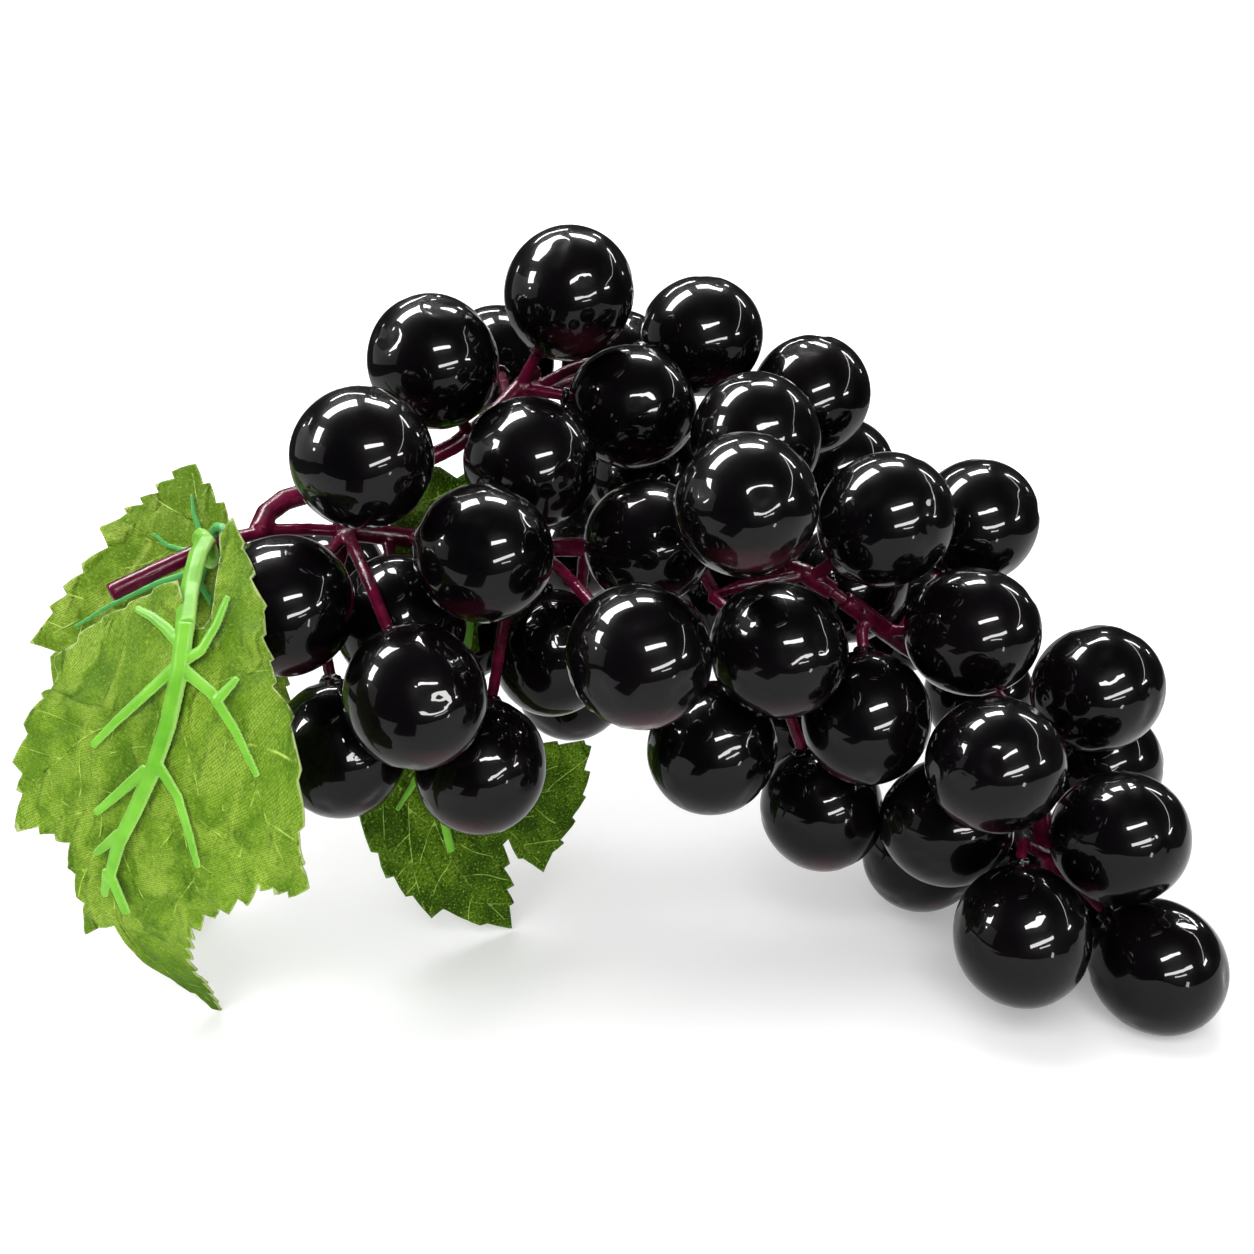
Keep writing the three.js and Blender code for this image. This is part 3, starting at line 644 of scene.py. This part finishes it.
def toothed_edge(corners):
    """The cut edge of a leaf, as flat points, with a saw tooth at each place it has one."""
    edge = []
    for here, there in zip(corners, corners[1:] + corners[:1]):
        start, end = Vector(here[:2]), Vector(there[:2])
        teeth, depth, point_way = here[2:]
        edge.append(start)
        along = (end - start) / max(teeth, 1)
        outward = Vector((-along.y, along.x)).normalized() * depth
        for tooth in range(teeth):
            root = start + along * tooth
            if tooth:
                edge.append(root)
            uneven = 0.85 + 0.3 * noise.noise(Vector((*root, 3.0)))
            tip = 0.9 if point_way > 0 else 0.12
            belly = 0.5 if point_way > 0 else 0.55
            tip_point = root + along * tip + outward * uneven
            belly_point = root + along * belly + outward * 0.62 * uneven
            edge += [belly_point, tip_point] if point_way > 0 else [tip_point, belly_point]
    return edge


def walk(points, step, closed=False):
    """Points at even steps along a line of flat points, keeping its corners."""
    line = []
    ends = points + points[:1] if closed else points
    for a, b in zip(ends, ends[1:]):
        count = max(1, round((b - a).length / step))
        line += [a.lerp(b, i / count) for i in range(count)]
    return line if closed else line + [ends[-1]]


def inside(point, edge):
    odd = False
    for a, b in zip(edge, edge[1:] + edge[:1]):
        if (a.y > point.y) != (b.y > point.y):
            if point.x < (b.x - a.x) * (point.y - a.y) / (b.y - a.y) + a.x:
                odd = not odd
    return odd


def gap_to(point, line):
    """Distance from a flat point to a line of flat points, and how far along it is."""
    best, best_along, gone = 1e9, 0.0, 0.0
    for a, b in zip(line, line[1:]):
        span = b - a
        share = min(max((point - a).dot(span) / span.length_squared, 0.0), 1.0)
        gap = (point - a.lerp(b, share)).length
        if gap < best:
            best, best_along = gap, gone + share * span.length
        gone += span.length
    return best, best_along


def softened(points):
    """The same line with its corners rounded."""
    line = [Vector(p) for p in points]
    for _ in range(2):
        cut = [line[0]]
        for a, b in zip(line, line[1:]):
            cut += [a.lerp(b, 0.25), a.lerp(b, 0.75)]
        line = cut + [line[-1]]
    return line


def vein_lines(leaf, edge):
    """The main veins, and the side veins that leave each of them by turns."""
    lines = [walk(softened(vein), VEIN_STEP) for vein in leaf["veins"]]
    lines = [[p for p in line if inside(p, edge)] for line in lines]
    sides = []
    for main in list(lines):
        for index in range(5, len(main) - 4, 5):
            forward = (main[index + 1] - main[index]).normalized()
            side = 1 if (index // 5) % 2 else -1
            for way in (side, -side) if index % 10 else (side,):
                swing = math.radians(50 + 12 * noise.noise(Vector((*main[index], 1.0))))
                spot = main[index].copy()
                line = [spot.copy()]
                for step in range(12):
                    angle = way * swing * (1 - 0.03 * step)
                    heading = Vector((
                        forward.x * math.cos(angle) - forward.y * math.sin(angle),
                        forward.x * math.sin(angle) + forward.y * math.cos(angle),
                    ))
                    wander = 0.25 * noise.noise(Vector((*spot, 5.0)) * 0.3)
                    heading += Vector((-heading.y, heading.x)) * wander
                    spot = spot + heading * VEIN_STEP
                    others = lines + sides
                    clear = all(
                        gap_to(spot, other)[0] > 1.3 for other in others if other is not main
                    )
                    if not inside(spot, edge) or not clear:
                        break
                    line.append(spot.copy())
                if len(line) > 3:
                    sides.append(line)
    return lines, sides


def leaf_mesh(name, leaf, grape_middles):
    edge = walk(toothed_edge(leaf["edge"]), EDGE_STEP, closed=True)
    mains, sides = vein_lines(leaf, edge)
    points = list(edge)
    bonds = [(i, (i + 1) % len(edge)) for i in range(len(edge))]
    for line in mains + sides:
        first = len(points)
        points += line
        bonds += [(first + i, first + i + 1) for i in range(len(line) - 1)]
        for a, b in zip(line, line[1:]):
            sideways = Vector((a.y - b.y, b.x - a.x)).normalized() * VEIN_HALF_WIDTH
            points += [a.lerp(b, 0.5) + sideways, a.lerp(b, 0.5) - sideways]
    low_x, high_x = min(p.x for p in edge), max(p.x for p in edge)
    low_y, high_y = min(p.y for p in edge), max(p.y for p in edge)
    row = 0
    y = low_y
    taken = {(round(p.x / 0.7), round(p.y / 0.7)) for p in points}
    while y < high_y:
        x = low_x + (row % 2) * FIELD_STEP / 2
        while x < high_x:
            spot = Vector((x, y))
            cell = (round(x / 0.7), round(y / 0.7))
            if cell not in taken and inside(spot, edge):
                points.append(spot)
            x += FIELD_STEP
        y += FIELD_STEP * 0.866
        row += 1
    flat, _, faces, _, _, _ = delaunay_2d_cdt(points, bonds, [list(range(len(edge)))], 1, 1e-4)

    bend = Bend(leaf)
    fold_line = [Vector(p) for p in leaf["fold"]] if leaf["fold"] else None
    mesh = bmesh.new()
    flat_map = mesh.loops.layers.uv.new("flat")
    vein_mark = mesh.verts.layers.float.new("vein")
    rim_mark = mesh.verts.layers.float.new("rim")
    fold_shade_mark = mesh.verts.layers.float.new("fold")
    shade_mark = mesh.verts.layers.float.new("shade")
    lit_end, dark_end = leaf["shade"]
    edge_loop = edge + edge[:1]
    for p in flat:
        to_edge = gap_to(p, edge_loop)[0]
        to_vein = min(gap_to(p, line)[0] for line in mains + sides)
        to_main = min(gap_to(p, line)[0] for line in mains)
        quilt = 0.35 * (1 - math.exp(-to_main / 2.5))
        ripple = 0.5 * noise.noise(Vector((p.x * 0.09, p.y * 0.09, 2.0)))
        ripple += 0.45 * noise.noise(Vector((0.2 * (p.x + p.y), 0.12 * (p.x - p.y), 7.0)))
        lift = quilt + ripple - 0.2 * max(0.0, 1 - to_vein / 0.9)
        folded = 0.0
        if fold_line:
            gap, along = gap_to(p, fold_line)
            beyond = p.x - min(fold_line, key=lambda q: abs(q.y - p.y)).x
            if beyond > 0:
                folded = min(1.0, gap / 1.5)
                ruffle = math.sin(math.tau * p.y / 8.5)
                lift += -0.03 * gap + 0.6 * ruffle * max(0.0, 1 - to_edge / 5) * folded
            lift -= 0.5 * math.exp(-gap / 1.2)
        spot, _ = bend.place(p.x, p.y, lift)
        for middle in grape_middles:
            away = spot - middle
            if away.length < LEAF_TO_GRAPE:
                spot = middle + away.normalized() * LEAF_TO_GRAPE
        spot.z = max(spot.z, 0.35 + (0.0 - DRAWING_ZERO.z) / MM)
        vertex = mesh.verts.new(DRAWING_ZERO + spot * MM)
        vertex[vein_mark] = max(0.0, 1 - to_vein / VEIN_HALF_WIDTH)
        vertex[rim_mark] = max(0.0, 1 - to_edge / 0.35)
        vertex[fold_shade_mark] = folded
        vertex[shade_mark] = min(max((p.y - lit_end) / (dark_end - lit_end), 0.0), 1.0)
    mesh.verts.ensure_lookup_table()
    for corners in faces:
        face = mesh.faces.new([mesh.verts[i] for i in corners])
        for loop, index in zip(face.loops, corners):
            loop[flat_map].uv = (flat[index].x / FLAT_UNIT, flat[index].y / FLAT_UNIT)
    bmesh.ops.recalc_face_normals(mesh, faces=mesh.faces)
    data = bpy.data.meshes.new(name)
    mesh.to_mesh(data)
    mesh.free()
    area = abs(sum(a.x * b.y - b.x * a.y for a, b in zip(edge, edge[1:] + edge[:1]))) / 2
    size = (high_x - low_x, high_y - low_y)
    return data, size, area


def build_leaf(node_name, cloth, grape_middles):
    data, size, area = leaf_mesh(node_name, LEAVES[node_name], grape_middles)
    leaf = new_piece(f"cloth_{node_name}", data)
    shade_smooth(leaf)
    apply_modifier(leaf, "SOLIDIFY", thickness=CLOTH_THICKNESS, offset=0.0)
    data.materials.append(cloth)
    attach(leaf, "root")
    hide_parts(node_name)


def build_rib_frame(node_name, plastic, widening):
    ribs = rounded_copy(node_name, f"moulded_{node_name}", 0.25 * MM, 3, 0.05 * MM)
    bend = Bend(LEAVES[node_name.removesuffix("_ribs")])
    stations = [bend.place(0, up) for up in range(16, -90, -4)]
    # The "edge" mark: how far each place faces sideways to its leaf; it places the painted edge
    # highlight.
    edge = ribs.data.attributes.new("edge", "FLOAT", "POINT")
    sides = ribs.vertex_groups.new(name="sides")
    for vertex, mark in zip(ribs.data.vertices, edge.data):
        spot = (vertex.co - DRAWING_ZERO) / MM
        _, face = min(stations, key=lambda station: (station[0] - spot).length)
        sideways = 1 - abs(vertex.normal.dot(face))
        sides.add([vertex.index], sideways, "REPLACE")
        mark.value = min(1.0, max(0.0, 2 * sideways - 0.75))
    apply_modifier(ribs, "DISPLACE", vertex_group="sides", strength=widening, mid_level=0.0)
    ribs.data.materials.append(plastic)


# ------------------------------------------------------------------ table, light, camera

def make_sweep(name, half_width, front, back, height, rise):
    """A sheet that lies on the table and rises behind the bunch in a quarter circle."""
    bpy.ops.object.select_all(action="DESELECT")
    bpy.ops.mesh.primitive_plane_add(size=1, location=(0, 0, 0))
    sweep = bpy.context.object
    sweep.name = name
    work_on(sweep)
    bpy.ops.mesh.select_all(action="SELECT")
    bpy.ops.transform.resize(value=(2 * half_width, back - front, 1))
    bpy.ops.transform.translate(value=(0, (back + front) / 2, height))
    put_down()
    mesh = bmesh.new()
    mesh.from_mesh(sweep.data)
    far = [e for e in mesh.edges if all(v.co.y > back - 0.01 for v in e.verts)]
    for step in range(1, 13):
        angle = math.radians(90) * step / 12
        moved = bmesh.ops.extrude_edge_only(mesh, edges=far)["geom"]
        for vertex in (g for g in moved if isinstance(g, bmesh.types.BMVert)):
            vertex.co.y = back + rise * math.sin(angle)
            vertex.co.z = height + rise * (1 - math.cos(angle))
        far = [g for g in moved if isinstance(g, bmesh.types.BMEdge)]
    moved = bmesh.ops.extrude_edge_only(mesh, edges=far)["geom"]
    for vertex in (g for g in moved if isinstance(g, bmesh.types.BMVert)):
        vertex.co.z = height + 2 * rise
    mesh.to_mesh(sweep.data)
    mesh.free()
    shade_smooth(sweep)
    return sweep


def lay_table():
    """A sheet of white paper under the bunch, on a wider white table with a backdrop. Both glow as
    painted light: the table more in front of the bunch and far behind it than under it; the paper,
    seen only mirrored in the bunch, paler and brighter in front, as a painted reflection.
    """
    paper = make_sweep("white_paper", 0.42, -0.24, 0.8, 0.0, 0.12)
    paper.visible_camera = False
    paper.visible_diffuse = False
    paper.visible_shadow = False
    table = make_sweep("white_table", 1.6, -0.3, 1.6, -0.5 * MM, 0.5)
    table.visible_glossy = False
    # Painted light: how pale each sheet is and how much it glows change with the distance back.
    for sheet, near_white, far_white, glows in (
        (paper, 0.7, 0.3, ((0.3, 0.14), (0.5, 0.05))),
        (table, 0.9, 0.9, ((0.2, 0.6), (0.29, 0.2), (0.42, 0.2), (0.8, 1.0))),
    ):
        white = Finish(sheet.name)
        white.plain(Roughness=0.9, Specular_IOR_Level=0.0)
        place = white.add("ShaderNodeSeparateXYZ")
        white.join(white.place(), place.inputs["Vector"])
        depth = white.math("ADD", place.outputs["Y"], 0.3)
        level = white.ramp(depth, (0.34, near_white), (0.6, far_white))
        white.join(level, white.shader.inputs["Base Color"])
        white.join(white.ramp(depth, *glows), white.shader.inputs["Emission Color"])
        white.plain(Emission_Strength=1.0)
        sheet.data.materials.append(white.material)


PANEL_GAIN = 2.4
MIDDLE = Vector((0, 0, 70))  # what the lamps are turned to, in millimetres

# Lamp panels: their two ends in millimetres, their width, and how bright they are.
PANELS = {
    "top_left": ((-96, 154, 663), (-470, 20, 560), 150, 26),
    "top_right": ((-21, 239, 663), (205, 244, 579), 95, 26),
    "left_high": ((-351, -75, 341), (-446, -128, 257), 85, 26),
    "left_low": ((-470, -135, 215), (-490, -147, 195), 28, 20),
    "front": ((240, -279, 306), (23, -307, 236), 34, 26),
    "front_strip": ((286, -254, 138), (63, -328, 81), 26, 17),
    "front_edge": ((205, -250, 74), (130, -285, 62), 8, 14),
    "front_glint": ((170, -178, 24), (166, -184, 4), 14, 8),
    "right": ((600, -150, 185), (620, -280, 180), 32, 24),
    "far_left": ((-760, 880, 1060), (-420, 1060, 1090), 70, 18),
    "far_middle": ((-400, 1000, 1090), (-70, 1060, 1130), 60, 18),
    "far_right": ((330, 1040, 1000), (470, 1010, 980), 50, 16),
    "tent_edge": ((551, 462, 765), (680, -275, 226), 12, 10),
    "rim_right": ((600, 480, 800), (860, 460, 620), 55, 14),
    "rim_low_right": ((1100, 760, 500), (1160, 720, 440), 40, 12),
    "rim_left": ((-1130, 700, 690), (-1170, 640, 560), 40, 12),
}
# A dark card lying at the front of the table.
DARK_CARD = [(-118, -245, 1), (0, -245, 1), (-28, -128, 1), (-92, -128, 1)]
WALLS = {
    "left_wall": ((-900, -600, 240), (-900, 500, 240), 420, 0.3),
}


def add_panel(name, start, end, width, glow):
    """A glowing panel turned to the bunch, which shows only where it is mirrored."""
    start, end = Vector(start), Vector(end)
    middle = (start + end) / 2
    across = (end - start).cross(MIDDLE - middle).normalized() * width / 2
    add_card(name, [start + across, end + across, end - across, start - across], glow)


def add_card(name, corners, glow):
    mesh = bpy.data.meshes.new(name)
    mesh.from_pydata([Vector(corner) * MM for corner in corners], [], [(0, 1, 2, 3)])
    panel = new_piece(name, mesh)
    light = Finish(name)
    light.plain(Base_Color=(0, 0, 0, 1), Emission_Color=(1, 0.99, 0.97, 1))
    light.plain(Emission_Strength=glow * PANEL_GAIN)
    mesh.materials.append(light.material)
    panel.visible_camera = False
    panel.visible_diffuse = False
    panel.visible_transmission = False
    panel.visible_shadow = False


def add_lamp(name, size, power, place):
    """A soft lamp that lights the cloth and the table but is not mirrored."""
    lamp = bpy.data.lights.new(name, "AREA")
    lamp.shape = "RECTANGLE"
    lamp.size, lamp.size_y = size
    lamp.energy = power
    holder = new_piece(name, lamp)
    holder.location = place
    holder.rotation_euler = (Vector(place) - MIDDLE * MM).to_track_quat("Z", "Y").to_euler()
    holder.visible_camera = False
    holder.visible_glossy = False


def light_the_room():
    for name, panel in {**PANELS, **WALLS}.items():
        add_panel(f"panel_{name}", *panel)
    add_card("dark_card", DARK_CARD, 0.0)
    add_lamp("soft_top", (1.2, 0.9), 11, (-0.2, 0.1, 1.1))
    add_lamp("soft_front", (0.5, 0.3), 5.5, (-0.12, -0.7, 0.55))
    world = bpy.data.worlds.new("dim_room")
    world.use_nodes = True
    tree = world.node_tree
    tree.nodes.clear()
    path = tree.nodes.new("ShaderNodeLightPath")
    dim = tree.nodes.new("ShaderNodeBackground")
    dim.inputs["Color"].default_value = (0.93, 0.96, 1.0, 1)
    dim.inputs["Strength"].default_value = 0.03
    soft = tree.nodes.new("ShaderNodeBackground")
    soft.inputs["Strength"].default_value = 0.34
    pale = tree.nodes.new("ShaderNodeBackground")
    pale.inputs["Strength"].default_value = 1.0
    pale.inputs["Color"].default_value = (0.97, 0.97, 0.97, 1)
    choose = tree.nodes.new("ShaderNodeMixShader")
    seen = tree.nodes.new("ShaderNodeMixShader")
    output = tree.nodes.new("ShaderNodeOutputWorld")
    tree.links.new(path.outputs["Is Glossy Ray"], choose.inputs["Fac"])
    tree.links.new(soft.outputs[0], choose.inputs[1])
    tree.links.new(dim.outputs[0], choose.inputs[2])
    tree.links.new(path.outputs["Is Camera Ray"], seen.inputs["Fac"])
    tree.links.new(choose.outputs[0], seen.inputs[1])
    tree.links.new(pale.outputs[0], seen.inputs[2])
    tree.links.new(seen.outputs[0], output.inputs["Surface"])
    bpy.context.scene.world = world


def set_camera():
    camera = bpy.data.objects.new("camera", bpy.data.cameras.new("camera"))
    bpy.context.scene.collection.objects.link(camera)
    camera.location = at(0, -285, 149.6)
    camera.rotation_euler = (math.radians(74), 0, 0)
    camera.data.sensor_width = 36
    camera.data.lens = 43.06
    camera.data.clip_start = 0.01
    bpy.context.scene.camera = camera
    bpy.context.scene.view_settings.view_transform = "Standard"


# ------------------------------------------------------------------ the bunch

set_camera()
lay_table()
light_the_room()

grape_middles = build_grapes(grape_skin())
build_stems(stem_plastic())

light_cloth = leaf_cloth(
    "light_leaf_cloth", srgb(78, 114, 24), srgb(134, 170, 48), srgb(170, 198, 78),
    srgb(170, 200, 88), srgb(190, 206, 138), 0.4, 0.54, 0.65,
)
# A brighter copy of the light leaf cloth, as painted light on the back leaf.
lit_copy_cloth = leaf_cloth(
    "lit_copy_leaf_cloth", srgb(88, 122, 26), srgb(156, 190, 64), srgb(204, 228, 108),
    srgb(200, 224, 120), srgb(190, 206, 138), 0.4, 0.54, 0.65,
)
deep_cloth = leaf_cloth(
    "deep_leaf_cloth", srgb(50, 78, 6), srgb(80, 116, 14), srgb(110, 146, 34),
    srgb(160, 198, 88), srgb(120, 150, 80), 0.85, 0.48, 0.5,
)
green_plastic = rib_plastic(
    "rib_plastic", srgb(92, 158, 36), srgb(122, 188, 58), srgb(172, 220, 116),
)
# A darker, bluer copy of the rib plastic, as painted shade on the back leaf's ribs.
shaded_copy_plastic = rib_plastic(
    "shaded_copy_rib_plastic", srgb(64, 146, 72), srgb(88, 172, 92), srgb(126, 196, 120),
)
for leaf_name, cloth, plastic, widening in (
    ("leaf_front", light_cloth, green_plastic, 0.25 * MM),
    ("leaf_back", lit_copy_cloth, shaded_copy_plastic, 0.03 * MM),
    ("leaf_under", deep_cloth, green_plastic, 0.03 * MM),
):
    build_rib_frame(f"{leaf_name}_ribs", plastic, widening)
    build_leaf(leaf_name, cloth, grape_middles)
